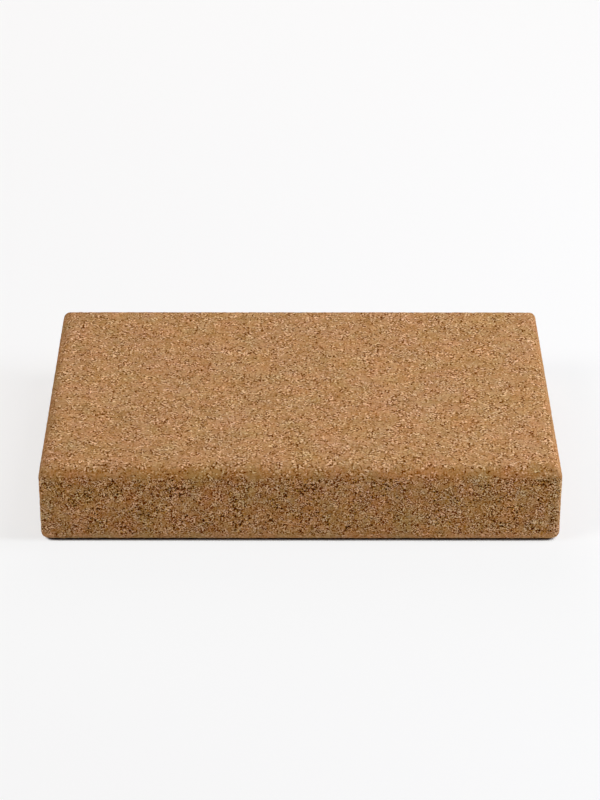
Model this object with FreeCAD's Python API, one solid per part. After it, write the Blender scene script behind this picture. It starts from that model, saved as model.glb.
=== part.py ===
"""Flat yoga block: one slab of pressed cork granulate, rounded over along all its edges.

Millimetres, +Z up, +X along the length. The origin is the middle of the broad face that it lies on.
"""

import FreeCAD, Part
import math
import os

# Driving dimensions
LENGTH = 305.0  # along X
WIDTH = 205.0  # along Y
THICKNESS = 50.0  # along Z, between the two broad faces
EDGE_RADIUS = 7.0  # round-over along the edges of both broad faces
CORNER_RADIUS = 3.0  # rounding of the four upright corners, seen from above

# Cutting solids reach this far past what they cut
OVERRUN = 2.0

X_AXIS = FreeCAD.Vector(1, 0, 0)
Y_AXIS = FreeCAD.Vector(0, 1, 0)
Z_AXIS = FreeCAD.Vector(0, 0, 1)
ORIGIN = FreeCAD.Vector(0, 0, 0)
QUARTER_TURN = 90


def rounded_rectangle(width, height, radius):
    """Flat face in the XY plane, centred on the origin: four straight sides joined by four quarter arcs."""
    edges = []
    corner_signs = ((1, 1), (-1, 1), (-1, -1), (1, -1))
    for turn, (sign_x, sign_y) in enumerate(corner_signs):
        centre = FreeCAD.Vector(sign_x * (width / 2 - radius), sign_y * (height / 2 - radius), 0)
        start = turn * math.pi / 2
        circle = Part.Circle(centre, Z_AXIS, radius)
        edges.append(Part.ArcOfCircle(circle, start, start + math.pi / 2).toShape())
    sides = []
    for arc, next_arc in zip(edges, edges[1:] + edges[:1]):
        sides.append(Part.makeLine(arc.lastVertex().Point, next_arc.firstVertex().Point))
    outline = [edge for pair in zip(edges, sides) for edge in pair]
    return Part.Face(Part.Wire(outline))


def upright_section(width):
    """The slab's section, THICKNESS tall on Z = 0 and centred on the Z axis, in the XZ plane."""
    section = rounded_rectangle(width, THICKNESS, EDGE_RADIUS)
    section.rotate(ORIGIN, X_AXIS, QUARTER_TURN)
    section.translate(Z_AXIS * (THICKNESS / 2))
    return section


def rounded_over_slab():
    """Two sections run through each other: every long edge is rounded, and the corners are still mitred."""
    reach_y = WIDTH / 2 + OVERRUN
    lengthwise = upright_section(LENGTH)
    lengthwise.translate(Y_AXIS * -reach_y)
    lengthwise = lengthwise.extrude(Y_AXIS * (2 * reach_y))

    reach_x = LENGTH / 2 + OVERRUN
    crosswise = upright_section(WIDTH)
    crosswise.rotate(ORIGIN, Z_AXIS, QUARTER_TURN)
    crosswise.translate(X_AXIS * -reach_x)
    crosswise = crosswise.extrude(X_AXIS * (2 * reach_x))
    return lengthwise.common(crosswise)


def corner_waste():
    """Square column that holds all of one mitred corner, with its inner edge on the Z axis."""
    side = CORNER_RADIUS + OVERRUN
    column = Part.makeBox(side, side, THICKNESS + 2 * OVERRUN)
    column.translate(Z_AXIS * -OVERRUN)
    return column


def corner_post():
    """Quarter turn of the same round-over about the Z axis, so that its outside is CORNER_RADIUS from it."""
    half_section = upright_section(LENGTH)
    half_section.translate(X_AXIS * (CORNER_RADIUS - LENGTH / 2))
    beyond_axis = Part.makePlane(CORNER_RADIUS, THICKNESS, ORIGIN, Y_AXIS * -1, X_AXIS)
    return half_section.common(beyond_axis).Faces[0].revolve(ORIGIN, Z_AXIS, QUARTER_TURN)


def at_corners(shape):
    """Copies of a corner shape, turned to face outwards at the four upright corners."""
    inset_x = LENGTH / 2 - CORNER_RADIUS
    inset_y = WIDTH / 2 - CORNER_RADIUS
    copies = []
    for turn, (sign_x, sign_y) in enumerate(((1, 1), (-1, 1), (-1, -1), (1, -1))):
        copy = shape.copy()
        copy.rotate(ORIGIN, Z_AXIS, turn * QUARTER_TURN)
        copy.translate(FreeCAD.Vector(sign_x * inset_x, sign_y * inset_y, 0))
        copies.append(copy)
    return copies


def cork_block():
    """The whole slab: its mitred corners are cut away and filled again with rounded ones."""
    trimmed = rounded_over_slab().cut(at_corners(corner_waste()))
    return trimmed.fuse(at_corners(corner_post())).removeSplitter()


def main():
    os.makedirs("parts", exist_ok=True)
    block = cork_block()
    print(f"cork_block: valid {block.isValid()}, {len(block.Solids)} solid, {block.Volume / 1e6:.4f} litres")
    block.Solids[0].exportStep("parts/cork_block.step")


main()
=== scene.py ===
"""Cork yoga block: the looks of one flat slab of pressed cork granulate.

One field of cork, with its granules, seams and voids, is read twice. It moves the points of the slab's mesh,
and it colours the slab's surface, so that what looks like a void also is one.
"""

import logging
import math
from dataclasses import dataclass
from enum import Enum
from typing import Union

import bpy
import numpy as np
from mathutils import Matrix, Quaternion, Vector


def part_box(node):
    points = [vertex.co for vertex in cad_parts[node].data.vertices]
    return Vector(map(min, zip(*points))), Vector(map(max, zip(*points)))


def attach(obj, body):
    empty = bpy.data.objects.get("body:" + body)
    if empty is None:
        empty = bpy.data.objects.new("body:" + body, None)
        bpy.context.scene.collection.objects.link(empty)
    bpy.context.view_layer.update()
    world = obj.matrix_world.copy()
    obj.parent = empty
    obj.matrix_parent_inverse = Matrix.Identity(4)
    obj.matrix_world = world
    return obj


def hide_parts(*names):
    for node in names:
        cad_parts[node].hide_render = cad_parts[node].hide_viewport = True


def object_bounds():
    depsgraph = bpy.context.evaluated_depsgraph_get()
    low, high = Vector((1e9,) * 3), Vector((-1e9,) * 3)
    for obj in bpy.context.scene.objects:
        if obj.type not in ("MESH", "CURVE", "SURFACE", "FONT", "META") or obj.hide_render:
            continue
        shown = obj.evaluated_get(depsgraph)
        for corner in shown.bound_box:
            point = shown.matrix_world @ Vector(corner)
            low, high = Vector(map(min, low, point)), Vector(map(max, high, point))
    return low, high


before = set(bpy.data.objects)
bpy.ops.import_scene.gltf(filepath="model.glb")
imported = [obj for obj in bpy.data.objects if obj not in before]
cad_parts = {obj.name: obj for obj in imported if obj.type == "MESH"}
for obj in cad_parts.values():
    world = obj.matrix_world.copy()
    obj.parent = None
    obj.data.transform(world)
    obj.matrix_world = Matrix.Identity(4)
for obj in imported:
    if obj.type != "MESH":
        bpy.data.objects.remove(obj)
CAD_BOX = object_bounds()

NODE = "cork_block"
BODY = "root"

# The mesh keeps where each point lay on the smooth slab, in millimetres, under this name.
PLACE = "cork_place"
BAKE_MAP = "OFBake"
MM_PER_M = 1000.0

LOG = logging.getLogger("yoga_block")

Colour = tuple[float, float, float]
Triple = tuple[float, float, float]
# Where a smooth step starts and where it ends.
Span = tuple[float, float]
Input = Union["Value", float, tuple]

PLAIN: Colour = (1.0, 1.0, 1.0)


class Value:
    """One output of a node tree, which takes part in Python sums."""

    def __init__(self, sheet: "Sheet", socket: bpy.types.NodeSocket) -> None:
        """Keep the socket and the sheet that new nodes go on."""
        self.sheet = sheet
        self.socket = socket

    def __add__(self, other: Input) -> "Value":
        """This value plus another."""
        return self.sheet.math("ADD", self, other)

    def __sub__(self, other: Input) -> "Value":
        """This value less another."""
        return self.sheet.math("SUBTRACT", self, other)

    def __rsub__(self, other: Input) -> "Value":
        """A number less this value."""
        return self.sheet.math("SUBTRACT", other, self)

    def __mul__(self, other: Input) -> "Value":
        """This value times another."""
        return self.sheet.math("MULTIPLY", self, other)

    __radd__ = __add__
    __rmul__ = __mul__


class Sheet:
    """A node tree that expressions add their nodes to."""

    def __init__(self, tree: bpy.types.NodeTree) -> None:
        """Start on a tree, and keep the nodes that it has."""
        self.tree = tree

    def feed(self, socket: bpy.types.NodeSocket, value: Input) -> None:
        """Link a value to a socket, or set a plain number, colour or vector on it.

        Args:
            socket: the input to fill.
            value: what goes in.
        """
        if isinstance(value, Value):
            self.tree.links.new(value.socket, socket)
        elif socket.type == "RGBA":
            socket.default_value = (*value, 1.0)
        else:
            socket.default_value = value

    def node(
        self, kind: str, settings: dict[str, object], sockets: dict[str | int, Input]
    ) -> dict[str, Value]:
        """Add a node.

        Args:
            kind: Blender's name for the node's type.
            settings: the node's properties; "stops" holds the places and colours of a ramp.
            sockets: the values or links of its inputs, by name, or by number where two share a name.

        Returns:
            The node's outputs by name.
        """
        made = self.tree.nodes.new(kind)
        for name, setting in settings.items():
            if name == "stops":
                self.set_stops(made.color_ramp, setting)
            else:
                setattr(made, name, setting)
        for name, value in sockets.items():
            named = (socket for socket in made.inputs if socket.name == name and socket.enabled)
            self.feed(made.inputs[name] if isinstance(name, int) else next(named), value)
        return {socket.name: Value(self, socket) for socket in made.outputs if socket.enabled}

    @staticmethod
    def set_stops(ramp: bpy.types.ColorRamp, stops: list[tuple[float, Colour]]) -> None:
        """Give a ramp its stops.

        Args:
            ramp: the ramp of a new node, with its two first stops.
            stops: place and colour of each stop, from low to high.
        """
        while len(ramp.elements) < len(stops):
            ramp.elements.new(1.0)
        for element, (place, colour) in zip(ramp.elements, stops):
            element.position = place
            element.color = (*colour, 1.0)

    def math(self, operation: str, *values: Input) -> Value:
        """Add a Math node.

        Args:
            operation: what it does.
            values: its inputs in order.

        Returns:
            The result.
        """
        made = self.tree.nodes.new("ShaderNodeMath")
        made.operation = operation
        for socket, value in zip(made.inputs, values):
            self.feed(socket, value)
        return Value(self, made.outputs["Value"])

    def vector(self, operation: str, *values: Input) -> Value:
        """Add a Vector Math node.

        Args:
            operation: what it does.
            values: its inputs in order.

        Returns:
            The resulting vector.
        """
        made = self.tree.nodes.new("ShaderNodeVectorMath")
        made.operation = operation
        for socket, value in zip(made.inputs, values):
            self.feed(socket, value)
        return Value(self, made.outputs["Vector"])

    def parts(self, vector: Value) -> tuple[Value, Value, Value]:
        """The three numbers of a vector or colour."""
        split = self.node("ShaderNodeSeparateXYZ", {}, {"Vector": vector})
        return split["X"], split["Y"], split["Z"]

    def blend(self, share: Input, first: Input, second: Input) -> Value:
        """A colour between two, by a share from 0 to 1."""
        sockets = {"Factor": share, "A": first, "B": second}
        return self.node("ShaderNodeMix", {"data_type": "RGBA"}, sockets)["Result"]

    def tint(self, share: Input, colour: Value, first: Input, second: Input) -> Value:
        """A colour times a tint that lies between two, by a share from 0 to 1."""
        return self.vector("MULTIPLY", colour, self.blend(share, first, second))

    def seen(self) -> Value:
        """1 where the camera looks, straight or through gloss or glass, and 0 for light on its way."""
        path = self.node("ShaderNodeLightPath", {}, {})
        return path["Is Camera Ray"] + path["Is Glossy Ray"] + path["Is Transmission Ray"]

    def rise(self, value: Value, start: float, end: float) -> Value:
        """A smooth step: 0 up to start, 1 from end on; start may be the larger one."""
        low, high = min(start, end), max(start, end)
        sockets = {"Value": value, "From Min": low, "From Max": high}
        step = self.node("ShaderNodeMapRange", {"interpolation_type": "SMOOTHSTEP"}, sockets)["Result"]
        return step if start < end else 1.0 - step


@dataclass
class Zones:
    """Which part of the slab a place is on.

    Attributes:
        side: 1 on the upright sides.
        edge: 1 on the rounded edges between them and the broad faces.
        foot: 1 on the lower ones of those edges.
        end: 1 at the two short sides, and less a little way round the corner.
    """

    side: Value
    edge: Value
    foot: Value
    end: Value


@dataclass(frozen=True)
class Build:
    """The slab's build, as far as its surface depends on it; lengths in millimetres.

    Attributes:
        half_length: half the slab's length.
        half_height: half the slab's thickness.
        edge_radius: the rounding of the broad faces' edges.
        turned_share: how far past the flat of a side the finish of its rounded edge is complete; this and
            the next two are shares of the edge radius.
        side_shares: how far past it the side's own finish begins, and where that is complete.
        end_shares: how far from a short side its finish begins, and where that is complete.
    """

    half_length: float
    half_height: float
    edge_radius: float
    turned_share: float = 0.65
    side_shares: Span = (0.35, -0.1)
    end_shares: Span = (1.4, 0.2)

    def zones(self, sheet: Sheet, place: Value) -> Zones:
        """Tell the slab's sides and edges from its broad faces.

        Args:
            sheet: where the nodes go.
            place: place on the smooth slab, in millimetres.

        Returns:
            What the place is on.
        """
        along, _, height = sheet.parts(place)
        from_middle = sheet.math("ABSOLUTE", height - self.half_height)
        flat = self.half_height - self.edge_radius
        turned = sheet.rise(from_middle, self.half_height, flat + self.turned_share * self.edge_radius)
        side = sheet.rise(from_middle, *(flat + share * self.edge_radius for share in self.side_shares))
        edge = turned - side
        from_end = self.half_length - sheet.math("ABSOLUTE", along)
        end = sheet.rise(from_end, *(share * self.edge_radius for share in self.end_shares))
        return Zones(side, edge, edge * sheet.rise(height, self.half_height, 0.0), end)


@dataclass
class Cork:
    """What the field of cork says at one place.

    Attributes:
        tone: from about 0, darkest, to about 1, palest.
        hue: from 0, olive, to 1, reddish.
        dust: from 0, clear, to 1, dusty.
        swell: from 0, low, to 1, high: how far the granule here stands out.
        seam: 1 on the line between two granules.
        fleck: 1 in a crumb of dark bark.
        void: 1 in the middle of a hole between granules.
        stain: 1 in such a hole, and less in the browner cork round it.
        cut: 1 on the sides and the rounded edges, except at the two short sides.
    """

    tone: Value
    hue: Value
    dust: Value
    swell: Value
    seam: Value
    fleck: Value
    void: Value
    stain: Value
    cut: Value


@dataclass(frozen=True)
class Granulate:
    """Pressed cork granulate as a solid field; lengths in millimetres.

    Attributes:
        granule: size of a granule.
        crumb: size of the crumbs in and between them.
        grain: size of the fine grain on the broad faces.
        cut_grain: size of the fine grain on the sides.
        patch: size of the paler, darker, redder and greener areas.
        flattening: how much shorter all these are along the pressing direction.
        wander: how far outlines wander from straight.
        skew: how the fine grain is turned against the slab, in radians.
        grain_spots: how much stronger the fine grain is in a few spots of the broad faces.
        cut_grain_spots: the same on the sides.
        cut_grain_lean: how much more of the spots on the sides are dark than pale.
        speck: spacing of the small pits that are all over, only in the colour and the bump, painted dark as
            their shade.
        missing_specks: share of their places that have none.
        largest_speck: radius of the largest of them, as a share of the spacing.
        pore: spacing of the voids between granules.
        missing_voids: share of their places that have none.
        largest_void: radius of the largest of them, as a share of the spacing.
        cluster: size of the areas in which voids gather.
        broad_void_share: radius of voids on the two broad faces, as a share of those on the sides.
        rim: width of the browner cork round a void, as a share of the spacing.
        wall: how far inside a pit or void it is fully dark, as a share of the spacing.
        gathering: how strong the noise of clusters is where they begin and where they are complete.
        seam: how near to the line between granules a seam begins and is complete, as shares of their size.
        seam_breaks: how strong the noise along a seam is where the seam fades in and is complete.
        bark: which crumbs, counted from 0 to 1, begin to be bark and are bark.
        middle: the middle tone.
        calm: how much the plainest granules show of grain and pits.
        lively: how much more the least plain ones show.
        scattered: how lively granules are outside the clusters.
        clustered: how much more so they are inside.
        granule_tones: how much granules differ in tone; the next five say the same of other things.
        patch_tones: patches.
        crumb_tones: crumbs.
        grain_tones: the fine grain on the broad faces.
        cut_grain_tones: the fine grain on the sides.
        speck_shade_tones: small pits from what is round them; their darkness is painted shade, as the mesh
            has no such pits.
        side_contrast: how much more all these differ on the sides.
        edge_calm: how much less they differ on the rounded edges.
        side_depth: how much darker the sides are.
        edge_depth: how much darker the rounded edges are.
        painted_floor_bounce: how much paler the lower rounded edge is painted, as painted light bounced up
            from the floor.
        granule_hues: how much granules differ in hue.
        crumb_hues: how much crumbs do.
        patch_hues: how much patches do.
        cut_patch_hues: how much more they do on the sides and rounded edges.
        patch_dusts: how much patches differ in dust.
        cut_patch_dusts: how much more they do on the sides and rounded edges.
    """

    granule: float = 2.8
    crumb: float = 0.56
    grain: float = 1.2
    cut_grain: float = 0.84
    patch: float = 15.0
    flattening: float = 1.35
    wander: float = 0.35
    skew: Triple = (0.6, 0.4, 0.9)
    grain_spots: float = 20.0
    cut_grain_spots: float = 30.0
    cut_grain_lean: float = 3.5
    speck: float = 1.35
    missing_specks: float = 0.4
    largest_speck: float = 0.5
    pore: float = 1.35
    missing_voids: float = 0.45
    largest_void: float = 0.61
    cluster: float = 9.0
    broad_void_share: float = 0.3
    rim: float = 0.26
    wall: float = 0.12
    gathering: Span = (0.32, 0.62)
    seam: Span = (0.1, 0.02)
    seam_breaks: Span = (0.42, 0.58)
    bark: Span = (0.93, 0.97)
    middle: float = 0.618
    calm: float = 0.15
    lively: float = 2.4
    scattered: float = 0.8
    clustered: float = 0.4
    granule_tones: float = 0.1
    patch_tones: float = 0.1
    crumb_tones: float = 2.2
    grain_tones: float = 0.77
    cut_grain_tones: float = 1.24
    speck_shade_tones: float = 0.6
    side_contrast: float = 0.35
    edge_calm: float = 0.42
    side_depth: float = 0.012
    edge_depth: float = 0.037
    painted_floor_bounce: float = 0.1
    granule_hues: float = 0.27
    crumb_hues: float = 0.07
    patch_hues: float = 1.5
    cut_patch_hues: float = 1.05
    patch_dusts: float = 2.2
    cut_patch_dusts: float = 0.2

    def cells(self, sheet: Sheet, place: Value, size: float, feature: str = "F1") -> dict[str, Value]:
        """Voronoi cells of a size, in millimetres."""
        sockets = {"Vector": place, "Scale": 1.0 / size}
        return sheet.node("ShaderNodeTexVoronoi", {"feature": feature}, sockets)

    def noise(self, sheet: Sheet, place: Value, size: float, detail: float = 1.0) -> dict[str, Value]:
        """Smooth noise whose features have a size, in millimetres."""
        sockets = {"Vector": place, "Scale": 1.0 / size, "Detail": detail}
        return sheet.node("ShaderNodeTexNoise", {}, sockets)

    def wandering(self, sheet: Sheet, place: Value) -> Value:
        """The place, flattened and shifted a little, so that granules are irregular."""
        flat = sheet.vector("MULTIPLY", place, (1.0, 1.0, self.flattening))
        shift = self.noise(sheet, place, self.pore, 2.0)["Color"]
        shift = sheet.vector("SUBTRACT", shift, (0.5, 0.5, 0.5))
        shift = sheet.vector("MULTIPLY", shift, (2 * self.wander,) * 3)
        return sheet.vector("ADD", flat, shift)

    def pits(self, sheet: Sheet, loose: Value, spacing: float, missing: float, largest: Input) -> Value:
        """Pits of all sizes, each in a place of its own.

        Args:
            sheet: where the nodes go.
            loose: wandering place on the smooth slab, in millimetres.
            spacing: of the places, in millimetres.
            missing: share of the places that have no pit.
            largest: radius of the largest pits, as a share of the spacing.

        Returns:
            How far a place is inside a pit, as a share of the spacing; below 0 outside.
        """
        cells = self.cells(sheet, loose, spacing)
        kind, _, _ = sheet.parts(cells["Color"])
        return sheet.rise(kind, missing, 1.0) * largest - cells["Distance"]

    def fine_grain(self, sheet: Sheet, loose: Value, size: float, spots: float, lean: float = 0.0) -> Value:
        """Grain of a size: mostly faint, and strong in a few spots.

        Args:
            sheet: where the nodes go.
            loose: wandering place on the smooth slab, in millimetres.
            size: of the grain, in millimetres.
            spots: how much stronger its few spots are.
            lean: how much more of them are dark than pale.

        Returns:
            How much paler or darker it is there.
        """
        # The noise is weak in the planes of its own lattice, so no side of the slab may lie in one of them.
        sockets = {"Vector": loose, "Rotation": self.skew}
        askew = sheet.node("ShaderNodeVectorRotate", {"rotation_type": "EULER_XYZ"}, sockets)["Vector"]
        grain = self.noise(sheet, askew, size, 0.0)["Fac"] - 0.5
        return grain * (1.0 + grain * grain * spots) - grain * grain * lean

    def voids(self, sheet: Sheet, loose: Value, side: Value, gathered: Value) -> Value:
        """Holes between granules: in clusters, large on the sawn sides and small on the broad faces.

        Args:
            sheet: where the nodes go.
            loose: wandering place on the smooth slab, in millimetres.
            side: 1 on the sides, 0 on the broad faces.
            gathered: 1 in a cluster, 0 outside.

        Returns:
            How far a place is inside a hole, as a share of their spacing; below 0 outside.
        """
        share = self.broad_void_share + side * (1.0 - self.broad_void_share)
        return self.pits(sheet, loose, self.pore, self.missing_voids, gathered * share * self.largest_void)

    def seams(self, sheet: Sheet, place: Value, loose: Value) -> Value:
        """Broken lines between large granules.

        Args:
            sheet: where the nodes go.
            place: place on the smooth slab, in millimetres.
            loose: the same, wandering.

        Returns:
            1 on a line, 0 beside it.
        """
        edge = self.cells(sheet, loose, self.granule, "DISTANCE_TO_EDGE")["Distance"]
        broken = self.noise(sheet, place, self.pore)["Fac"]
        return sheet.rise(edge, *self.seam) * sheet.rise(broken, *self.seam_breaks)

    def sample(self, sheet: Sheet, place: Value, zones: Zones) -> Cork:
        """All that the field says at a place.

        Args:
            sheet: where the nodes go.
            place: place on the smooth slab, in millimetres.
            zones: what the place is on.

        Returns:
            The cork there.
        """
        loose = self.wandering(sheet, place)
        granules = self.cells(sheet, loose, self.granule)["Color"]
        granule_tone, granule_hue, granule_kind = sheet.parts(granules)
        crumb_tone, crumb_hue, crumb_kind = sheet.parts(self.cells(sheet, loose, self.crumb)["Color"])
        patches = self.noise(sheet, place, self.patch, 2.0)["Color"]
        patch_tone, patch_hue, patch_dust = sheet.parts(patches)
        gathered = sheet.rise(self.noise(sheet, place, self.cluster, 2.0)["Fac"], *self.gathering)
        # Most granules are nearly plain, and a few are full of grain and pits.
        lively = self.calm + granule_kind * granule_kind * self.lively
        lively = lively * (self.scattered + gathered * self.clustered)
        off = crumb_tone - 0.5
        fine = off * off * off * self.crumb_tones
        grain = self.fine_grain(sheet, loose, self.grain, self.grain_spots)
        fine += grain * (1.0 - zones.side) * self.grain_tones
        cut_grain = self.fine_grain(sheet, loose, self.cut_grain, self.cut_grain_spots, self.cut_grain_lean)
        fine += cut_grain * zones.side * self.cut_grain_tones
        # Small pits are painted: darker spots stand for their shade, with a dent in the bump but none in the
        # mesh.
        speck = self.pits(sheet, loose, self.speck, self.missing_specks, self.largest_speck)
        fine -= sheet.rise(speck, 0.0, self.wall) * self.speck_shade_tones
        contrast = 1.0 + zones.side * self.side_contrast - zones.edge * self.edge_calm
        differing = (granule_tone - 0.5) * self.granule_tones + fine * lively
        cut = zones.side + zones.edge
        hue_spread = self.patch_hues + cut * self.cut_patch_hues
        dust_spread = self.patch_dusts + cut * self.cut_patch_dusts
        hue = granule_hue * self.granule_hues + crumb_hue * self.crumb_hues
        middle_hue = 0.5 - (self.granule_hues + self.crumb_hues) / 2
        # The lower rounded edge is painted paler: painted light bounced up from the floor.
        broad = (patch_tone - 0.5) * self.patch_tones + zones.foot * self.painted_floor_bounce
        broad -= zones.side * self.side_depth + zones.edge * self.edge_depth
        hole = self.voids(sheet, loose, zones.side, gathered)
        return Cork(
            tone=self.middle + differing * contrast + broad,
            hue=hue + (patch_hue - 0.5) * hue_spread + middle_hue,
            dust=(patch_dust - 0.5) * dust_spread + 0.5,
            swell=granule_tone,
            seam=self.seams(sheet, place, loose),
            fleck=sheet.rise(crumb_kind, *self.bark),
            void=sheet.rise(hole, 0.0, self.wall),
            stain=sheet.rise(hole, -self.rim, 0.0),
            cut=cut * (1.0 - zones.end),
        )


@dataclass(frozen=True)
class CorkFinish:
    """The colours of sanded, uncoated cork.

    Attributes:
        granulate: the field that the colours follow.
        tones: colours from the darkest to the palest cork, evenly spaced.
        olive: tint of the granules that lean to green.
        reddish: tint of those that lean to red.
        clear: tint of the places without dust.
        dusty: tint of those with most.
        cut_dark: tint of the darkest cork on the long sides and their rounded edges.
        cut_pale: tint of the palest cork there.
        seam: colour of the lines between granules.
        bark: colour of the crumbs of bark.
        stain: tint of the cork round the voids.
        hollow_dark_and_shade: colour down in the voids: partly dark dirt inside, partly painted shade of the
            hole.
        cut_tones: the tones between which cut_dark gives way to cut_pale.
        seam_cover: how much of a seam has the seam's colour.
        bark_cover: how much of a crumb of bark has the bark's colour.
        hollow_shade_cover: how much of a void has that dark colour with its painted shade.
        roughness: of the darkest cork.
        tone_roughness: how much rougher the palest cork is.
        void_roughness: how much rougher voids are.
        gloss: level of the shine.
        bump_strength: how strong the fine relief is.
        bump_depth: its depth, in metres.
        bump_seam: how deep seams are in it, against voids.
    """

    granulate: Granulate
    tones: tuple[Colour, ...] = (
        (0.121, 0.0245, 0.0),
        (0.202, 0.07, 0.0085),
        (0.354, 0.163, 0.052),
        (0.576, 0.324, 0.152),
        (0.778, 0.506, 0.285),
    )
    olive: Colour = (0.925, 1.02, 1.0)
    reddish: Colour = (1.075, 0.98, 1.0)
    clear: Colour = (1.0, 1.0, 0.92)
    dusty: Colour = (1.0, 1.0, 1.1)
    cut_dark: Colour = (1.08, 0.935, 0.67)
    cut_pale: Colour = (1.0, 1.02, 1.0)
    seam: Colour = (0.11, 0.032, 0.006)
    bark: Colour = (0.085, 0.024, 0.004)
    stain: Colour = (1.05, 0.83, 0.22)
    hollow_dark_and_shade: Colour = (0.05, 0.009, 0.0003)
    cut_tones: Span = (0.25, 0.9)
    seam_cover: float = 0.45
    bark_cover: float = 0.5
    hollow_shade_cover: float = 0.95
    roughness: float = 0.8
    tone_roughness: float = 0.1
    void_roughness: float = 0.1
    gloss: float = 0.02
    bump_strength: float = 0.25
    bump_depth: float = 0.0003
    bump_seam: float = 0.5

    def material(self, build: Build) -> bpy.types.Material:
        """Make the material.

        Args:
            build: the slab's build.

        Returns:
            A material for the slab's mesh.
        """
        material = bpy.data.materials.new("pressed_cork")
        material.use_nodes = True
        sheet = Sheet(material.node_tree)
        shader = material.node_tree.nodes["Principled BSDF"]
        place = sheet.node("ShaderNodeAttribute", {"attribute_name": PLACE}, {})["Vector"]
        cork = self.granulate.sample(sheet, place, build.zones(sheet, place))
        sheet.feed(shader.inputs["Base Color"], self.colour(sheet, cork))
        roughness = self.roughness + cork.tone * self.tone_roughness + cork.void * self.void_roughness
        sheet.feed(shader.inputs["Roughness"], roughness)
        sheet.feed(shader.inputs["Normal"], self.bump(sheet, cork))
        shader.inputs["Specular IOR Level"].default_value = self.gloss
        return material

    def colour(self, sheet: Sheet, cork: Cork) -> Value:
        """The colour of the surface.

        Args:
            sheet: where the nodes go.
            cork: the cork there.

        Returns:
            The colour.
        """
        last = len(self.tones) - 1
        stops = [(place / last, colour) for place, colour in enumerate(self.tones)]
        base = sheet.node("ShaderNodeValToRGB", {"stops": stops}, {"Fac": cork.tone})["Color"]
        base = sheet.tint(cork.hue, base, self.olive, self.reddish)
        base = sheet.tint(cork.dust, base, self.clear, self.dusty)
        cut = sheet.blend(sheet.rise(cork.tone, *self.cut_tones), self.cut_dark, self.cut_pale)
        base = sheet.tint(cork.cut, base, PLAIN, cut)
        base = sheet.blend(cork.seam * self.seam_cover, base, self.seam)
        base = sheet.blend(cork.fleck * self.bark_cover, base, self.bark)
        base = sheet.tint(cork.stain, base, PLAIN, self.stain)
        # Voids are painted near black: partly dark dirt inside them, partly painted shade of the hole.
        return sheet.blend(cork.void * self.hollow_shade_cover, base, self.hollow_dark_and_shade)

    def bump(self, sheet: Sheet, cork: Cork) -> Value:
        """Fine relief that the mesh is too coarse for.

        Args:
            sheet: where the nodes go.
            cork: the cork there.

        Returns:
            The bent normal.
        """
        height = cork.tone - cork.seam * self.bump_seam - cork.void
        sockets = {"Strength": self.bump_strength, "Distance": self.bump_depth, "Height": height}
        return sheet.node("ShaderNodeBump", {}, sockets)["Normal"]


class Side(Enum):
    """The six sides of the slab, each with its outward, right and up direction and its place in the map.

    A direction is an axis, counted from 1 so that it can carry a sign. The place is row and column.
    """

    TOP = (3, 2, -1, 0, 0)
    BOTTOM = (-3, 2, 1, 0, 1)
    LEFT = (-1, -2, 3, 1, 0)
    RIGHT = (1, 2, 3, 1, 1)
    FRONT = (-2, 1, 3, 2, 0)
    BACK = (2, -1, 3, 3, 0)


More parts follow.
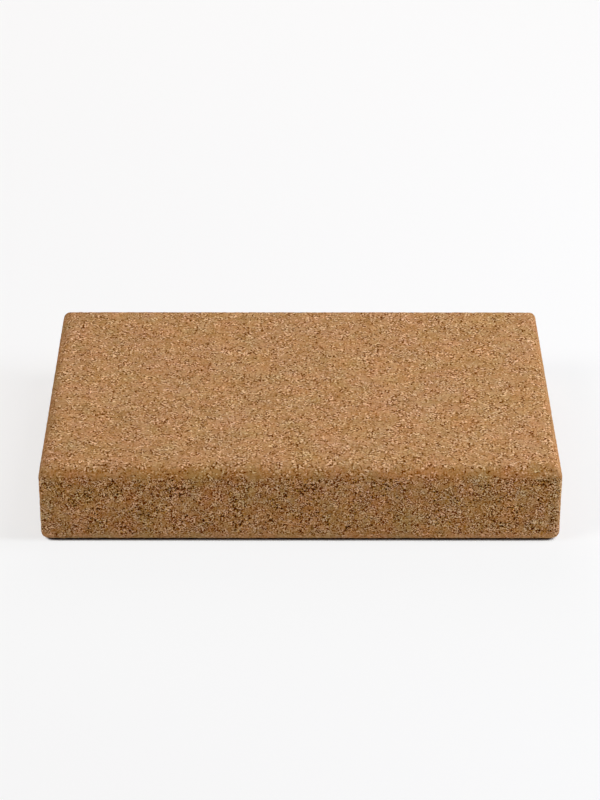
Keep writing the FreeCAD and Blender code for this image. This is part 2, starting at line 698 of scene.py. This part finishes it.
@dataclass
class CorkBlock:
    """The slab: a rounded box on a fine lattice, roughened like cut cork and thinned where it is plain.

    Attributes:
        low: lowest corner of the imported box, in metres.
        high: highest corner.
        granulate: the field that roughens it.
        edge_radius: rounding of the broad faces' edges.
        corner_power: 2 makes an upright corner as round as the edges, and more makes it sharper.
        step: spacing of the lattice.
        map_gap: room between the sides in the bake's map.
        void_depth: depth of the deepest voids.
        uneven: how far granules stand above or below each other.
        seam_sink: how deep seams are, as a share of that.
        triangles: how many triangles the thinned mesh has at most.
        crease_degrees: edges sharper than this aren't smoothed over.
    """

    low: Vector
    high: Vector
    granulate: Granulate
    edge_radius: float = 0.007
    corner_power: float = 7.0
    step: float = 0.0007
    map_gap: float = 0.006
    void_depth: float = 0.0008
    uneven: float = 0.0002
    seam_sink: float = 0.5
    triangles: int = 190_000
    crease_degrees: float = 40.0

    @property
    def size(self) -> np.ndarray:
        """Length, width and thickness."""
        return np.array(self.high - self.low)

    @property
    def surface_build(self) -> Build:
        """What the surface has to know, in millimetres."""
        half_length, _, half_height = self.size / 2 * MM_PER_M
        return Build(half_length, half_height, self.edge_radius * MM_PER_M)

    @property
    def counts(self) -> np.ndarray:
        """How many lattice steps each size has."""
        return np.rint(self.size / self.step).astype(int)

    def build(self) -> bpy.types.Object:
        """Make the slab and dress it.

        Returns:
            The finished piece.
        """
        block = bpy.data.objects.new("cork_slab", self.smooth_mesh())
        bpy.context.collection.objects.link(block)
        self.roughen(block)
        block.data.materials.append(CorkFinish(self.granulate).material(self.surface_build))
        return block

    def side_corners(self, side: Side) -> np.ndarray:
        """Lattice places of the four corners of each square on a side, anticlockwise from outside.

        Args:
            side: which side.

        Returns:
            Whole numbers, by square, corner and axis.
        """
        outward, right, up = side.value[:3]
        counts = self.counts
        across, along = np.arange(counts[abs(right) - 1]), np.arange(counts[abs(up) - 1])
        grid_right, grid_up = (grid.reshape(-1, 1) for grid in np.meshgrid(across, along, indexing="ij"))
        ring = np.array(((0, 0), (1, 0), (1, 1), (0, 1)))
        corners = np.zeros((grid_right.size, len(ring), 3), int)
        corners[:, :, abs(outward) - 1] = counts[abs(outward) - 1] if outward > 0 else 0
        for direction, place in ((right, grid_right + ring[:, 0]), (up, grid_up + ring[:, 1])):
            axis = abs(direction) - 1
            corners[:, :, axis] = place if direction > 0 else counts[axis] - place
        return corners

    def side_map(self, side: Side, corners: np.ndarray) -> np.ndarray:
        """Place of each corner in the bake's map, where the sides lie in rows at one scale.

        Args:
            side: which side.
            corners: its squares.

        Returns:
            Two numbers from 0 to 1, by square and corner.
        """
        _, right, up, row, column = side.value
        length, width, thickness = self.size
        row_starts = np.cumsum((0.0, length, thickness, thickness)) + self.map_gap * np.arange(1, 5)
        start = np.array((self.map_gap + column * (width + self.map_gap), row_starts[row]))
        whole = row_starts[-1] + thickness + self.map_gap
        flat = np.empty(corners.shape[:2] + (2,))
        for k, direction in enumerate((right, up)):
            axis = abs(direction) - 1
            share = corners[:, :, axis] / self.counts[axis]
            flat[:, :, k] = self.size[axis] * (share if direction > 0 else 1.0 - share)
        return (flat + start) / whole

    def rounded(self, lattice: np.ndarray) -> np.ndarray:
        """Carry lattice places on the sharp box to the rounded slab.

        Args:
            lattice: whole numbers, by point and axis.

        Returns:
            Places in metres.
        """
        half = self.size / 2
        sharp = lattice / self.counts * self.size - half
        core = np.clip(sharp, -(half - self.edge_radius), half - self.edge_radius)
        out = sharp - core
        plan = (np.abs(out[:, :2]) ** self.corner_power).sum(1) ** (1 / self.corner_power)
        reach = np.hypot(plan, out[:, 2])
        middle = np.array(self.low + self.high) / 2
        return middle + core + out * (self.edge_radius / reach)[:, None]

    def smooth_mesh(self) -> bpy.types.Mesh:
        """The slab before it is roughened: one closed skin of squares with the bake's map.

        Returns:
            The mesh.
        """
        corners = [self.side_corners(side) for side in Side]
        flat = np.concatenate([self.side_map(side, c).reshape(-1, 2) for side, c in zip(Side, corners)])
        lattice, index = np.unique(np.concatenate(corners).reshape(-1, 3), axis=0, return_inverse=True)
        mesh = bpy.data.meshes.new("cork_slab")
        mesh.vertices.add(len(lattice))
        mesh.vertices.foreach_set("co", self.rounded(lattice).ravel())
        mesh.loops.add(index.size)
        mesh.loops.foreach_set("vertex_index", index.ravel())
        mesh.polygons.add(index.size // 4)
        mesh.polygons.foreach_set("loop_start", np.arange(0, index.size, 4))
        mesh.uv_layers.new(name=BAKE_MAP).uv.foreach_set("vector", flat.ravel())
        mesh.update(calc_edges=True)
        mesh.shade_smooth()
        return mesh

    def relief_tree(self) -> bpy.types.NodeTree:
        """Geometry nodes that keep each point's place and then move it by the field of cork.

        Returns:
            The node tree.
        """
        tree = bpy.data.node_groups.new("cork_relief", "GeometryNodeTree")
        for way in ("INPUT", "OUTPUT"):
            tree.interface.new_socket("Geometry", in_out=way, socket_type="NodeSocketGeometry")
        sheet = Sheet(tree)
        skin = sheet.node("NodeGroupInput", {}, {})["Geometry"]
        place = sheet.node("GeometryNodeInputPosition", {}, {})["Position"]
        place = sheet.vector("MULTIPLY", place, (MM_PER_M,) * 3)
        kept = {"Geometry": skin, "Name": PLACE, "Value": place}
        skin = sheet.node("GeometryNodeStoreNamedAttribute", {"data_type": "FLOAT_VECTOR"}, kept)["Geometry"]
        cork = self.granulate.sample(sheet, place, self.surface_build.zones(sheet, place))
        low_granule = 0.5 - cork.swell + cork.seam * self.seam_sink
        sink = cork.void * self.void_depth + low_granule * self.uneven
        normal = sheet.node("GeometryNodeInputNormal", {}, {})["Normal"]
        inwards = {"Vector": normal, "Scale": -1.0 * sink}
        offset = sheet.node("ShaderNodeVectorMath", {"operation": "SCALE"}, inwards)["Vector"]
        moved = {"Geometry": skin, "Offset": offset}
        skin = sheet.node("GeometryNodeSetPosition", {}, moved)["Geometry"]
        sheet.node("NodeGroupOutput", {}, {"Geometry": skin})
        return tree

    def roughen(self, block: bpy.types.Object) -> None:
        """Move the slab's points by the field of cork, then thin the mesh where it is plain.

        Args:
            block: the slab with its smooth mesh, which is replaced.
        """
        relief = block.modifiers.new("relief", "NODES")
        relief.node_group = self.relief_tree()
        thin = block.modifiers.new("thin", "DECIMATE")
        thin.ratio = self.triangles / (2 * len(block.data.polygons))
        smooth = block.data
        shaped = block.evaluated_get(bpy.context.evaluated_depsgraph_get())
        block.data = bpy.data.meshes.new_from_object(shaped)
        block.data.name = "cork_slab"
        block.modifiers.clear()
        bpy.data.meshes.remove(smooth)
        block.data.shade_smooth()
        block.data.set_sharp_from_angle(angle=math.radians(self.crease_degrees))


@dataclass(frozen=True)
class Softbox:
    """A square studio lamp that points at the block.

    Attributes:
        name: what it is called.
        place: where it hangs, in metres.
        size: length of its side.
        watts: its power.
        tint: colour of its light.
    """

    name: str
    place: Triple
    size: float
    watts: float
    tint: Colour = PLAIN

    def build(self, aim: Vector) -> bpy.types.Object:
        """Hang the lamp.

        Args:
            aim: the point that it shines at.

        Returns:
            The lamp.
        """
        light = bpy.data.lights.new(self.name, "AREA")
        light.shape = "SQUARE"
        light.size = self.size
        light.energy = self.watts
        light.color = self.tint
        lamp = bpy.data.objects.new(self.name, light)
        lamp.location = self.place
        lamp.rotation_euler = (aim - lamp.location).to_track_quat("-Z", "Y").to_euler()
        lamp.visible_camera = False
        bpy.context.collection.objects.link(lamp)
        return lamp


@dataclass
class Studio:
    """A white table, soft lamps and a camera above the front.

    Attributes:
        aim_height: how high above the floor's middle lamps and camera look, in metres.
        camera_distance: from there, in metres.
        camera_pitch: degrees downwards.
        camera_turn: degrees to the left of straight ahead.
        camera_roll: degrees.
        focal_pixels: focal length in pixels of the picture.
        picture_height: height of the picture in pixels.
        sensor_width: width of the camera's sensor, in millimetres.
        floor_half: half the side of the floor.
        white: how bright the floor looks.
        daylight: strength of the even light from all round.
        table: colour of the floor in the light that it sends back.
        table_seen: its colour to the camera, a little warm, because one lamp is cool.
        painted_contact_shadow: colour of a painted shadow: the dark line where the block meets the floor.
        contact_reach: how far from the block the floor is tested for open air, in metres.
        contact_open: how open it is where the painted shadow line ends and where the floor is clear.
        contact_samples: number of tests.
        even: how much of the floor's brightness is the same everywhere.
        even_in_front: how much more of it is so before the block.
        even_far: how much more of it is so far away.
        front_inset: how far behind the block's front the floor before it begins, in metres.
        front_fade: where along Y that floor ends and where it is still complete, in metres.
        front_sides: how far to the left and right it ends and is still complete, in metres.
        far: how far away the floor begins to be even and is quite so, in metres.
        lamps: the softboxes.
    """

    aim_height: float = 0.0392
    camera_distance: float = 1.6663
    camera_pitch: float = 28.95
    camera_turn: float = 0.2
    camera_roll: float = 0.13
    focal_pixels: float = 2709.5
    picture_height: float = 800.0
    sensor_width: float = 36.0
    floor_half: float = 3.0
    white: float = 0.935
    daylight: float = 0.05
    table: Colour = (0.94, 0.94, 0.94)
    table_seen: Colour = (0.94, 0.9, 0.875)
    painted_contact_shadow: Colour = (0.1, 0.05, 0.025)
    contact_reach: float = 0.012
    contact_open: Span = (0.29, 0.35)
    contact_samples: int = 16
    even: float = 0.7
    even_in_front: float = 0.2
    even_far: float = 0.3
    front_inset: float = 0.007
    front_fade: Span = (-0.35, -0.15)
    front_sides: Span = (0.22, 0.14)
    far: Span = (0.9, 2.2)
    lamps: tuple[Softbox, ...] = (
        Softbox("left_softbox", (-1.8, -0.9, 2.0), 1.2, 35.5),
        Softbox("right_softbox", (1.5, 0.0, 2.5), 1.2, 20.0),
        Softbox("low_right_softbox", (1.4, -0.2, 0.65), 0.6, 19.0, (0.88, 1.0, 1.15)),
        Softbox("back_softbox", (0.0, 1.4, 1.2), 1.0, 13.0),
    )

    @property
    def aim(self) -> Vector:
        """The point that lamps and camera look at."""
        return Vector((0.0, 0.0, self.aim_height))

    @property
    def white_light(self) -> Colour:
        """The white of floor and background as a colour."""
        return (self.white,) * 3

    def build(self) -> None:
        """Set up camera, floor, world and lamps."""
        self.build_camera()
        self.build_floor()
        self.build_world()
        for lamp in self.lamps:
            lamp.build(self.aim)
        bpy.context.scene.view_settings.view_transform = "Standard"

    def build_camera(self) -> None:
        """Put the camera at the photograph's viewing angle."""
        data = bpy.data.cameras.new("camera")
        data.sensor_width = self.sensor_width
        data.lens = self.focal_pixels * self.sensor_width / self.picture_height
        camera = bpy.data.objects.new("camera", data)
        turn, pitch = math.radians(self.camera_turn), math.radians(self.camera_pitch)
        level = self.camera_distance * math.cos(pitch)
        rise = self.camera_distance * math.sin(pitch)
        camera.location = self.aim + Vector((-level * math.sin(turn), -level * math.cos(turn), rise))
        look = (self.aim - camera.location).to_track_quat("-Z", "Y")
        roll = Quaternion((0.0, 0.0, 1.0), math.radians(self.camera_roll))
        camera.rotation_euler = (look @ roll).to_euler()
        bpy.context.collection.objects.link(camera)
        bpy.context.scene.camera = camera

    def build_floor(self) -> bpy.types.Object:
        """A pale table top under the block.

        Returns:
            The floor.
        """
        signs = ((-1, -1), (1, -1), (1, 1), (-1, 1))
        corners = [(x * self.floor_half, y * self.floor_half, 0.0) for x, y in signs]
        mesh = bpy.data.meshes.new("floor")
        mesh.from_pydata(corners, [], [tuple(range(len(corners)))])
        mesh.materials.append(self.floor_material())
        floor = bpy.data.objects.new("floor", mesh)
        bpy.context.collection.objects.link(floor)
        return floor

    def evenness(self, sheet: Sheet) -> Value:
        """How evenly white the floor is: more so before the block, where it is bright, and far away.

        Args:
            sheet: where the nodes go.

        Returns:
            From 0, as the lamps light it, to 1, the same white everywhere.
        """
        front = CAD_BOX[0][1]
        place = sheet.node("ShaderNodeNewGeometry", {}, {})["Position"]
        across, depth, _ = sheet.parts(place)
        in_front = sheet.rise(depth, front + self.front_inset, front) * sheet.rise(depth, *self.front_fade)
        in_front = in_front * sheet.rise(sheet.math("ABSOLUTE", across), *self.front_sides)
        away = sheet.node("ShaderNodeVectorMath", {"operation": "LENGTH"}, {"Vector": place})["Value"]
        return self.even + in_front * self.even_in_front + sheet.rise(away, *self.far) * self.even_far

    def floor_material(self) -> bpy.types.Material:
        """White that keeps the block's shadow, and that looks evenly white to the camera, with a painted
        dark shadow line where it meets the block.

        Returns:
            The material.
        """
        material = bpy.data.materials.new("white_table")
        material.use_nodes = True
        material.node_tree.nodes.clear()
        sheet = Sheet(material.node_tree)
        seen = sheet.seen()
        near = {"Distance": self.contact_reach}
        open_air = sheet.node("ShaderNodeAmbientOcclusion", {"samples": self.contact_samples}, near)["AO"]
        open_air = sheet.rise(open_air, *self.contact_open)
        white = seen * open_air * self.evenness(sheet)
        table = sheet.blend(seen, self.table, self.table_seen)
        # To the camera, the floor's colour is darkened into a painted shadow where the block closes in over
        # it.
        colour = sheet.blend(seen * (1.0 - open_air), table, self.painted_contact_shadow)
        lit = sheet.node("ShaderNodeBsdfDiffuse", {}, {"Color": colour})["BSDF"]
        even = sheet.node("ShaderNodeEmission", {}, {"Color": self.white_light, "Strength": 1.0})["Emission"]
        both = sheet.node("ShaderNodeMixShader", {}, {"Fac": white, 1: lit, 2: even})["Shader"]
        sheet.node("ShaderNodeOutputMaterial", {}, {"Surface": both})
        return material

    def build_world(self) -> None:
        """Faint even light from all round, which the camera sees as the same white as the floor."""
        world = bpy.data.worlds.new("studio")
        world.use_nodes = True
        sheet = Sheet(world.node_tree)
        sky = world.node_tree.nodes["Background"]
        sheet.feed(sky.inputs["Color"], self.white_light)
        sheet.feed(sky.inputs["Strength"], self.daylight + sheet.seen() * (1.0 - self.daylight))
        bpy.context.scene.world = world


def main() -> None:
    """Build the slab, then the studio around it."""
    logging.basicConfig(level=logging.INFO, format="%(name)s: %(message)s")
    low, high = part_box(NODE)
    block = CorkBlock(low, high, Granulate()).build()
    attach(block, BODY)
    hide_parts(NODE)
    LOG.info("%s: %d triangles", block.name, sum(len(p.vertices) - 2 for p in block.data.polygons))
    Studio().build()


if __name__ == "__main__":
    main()
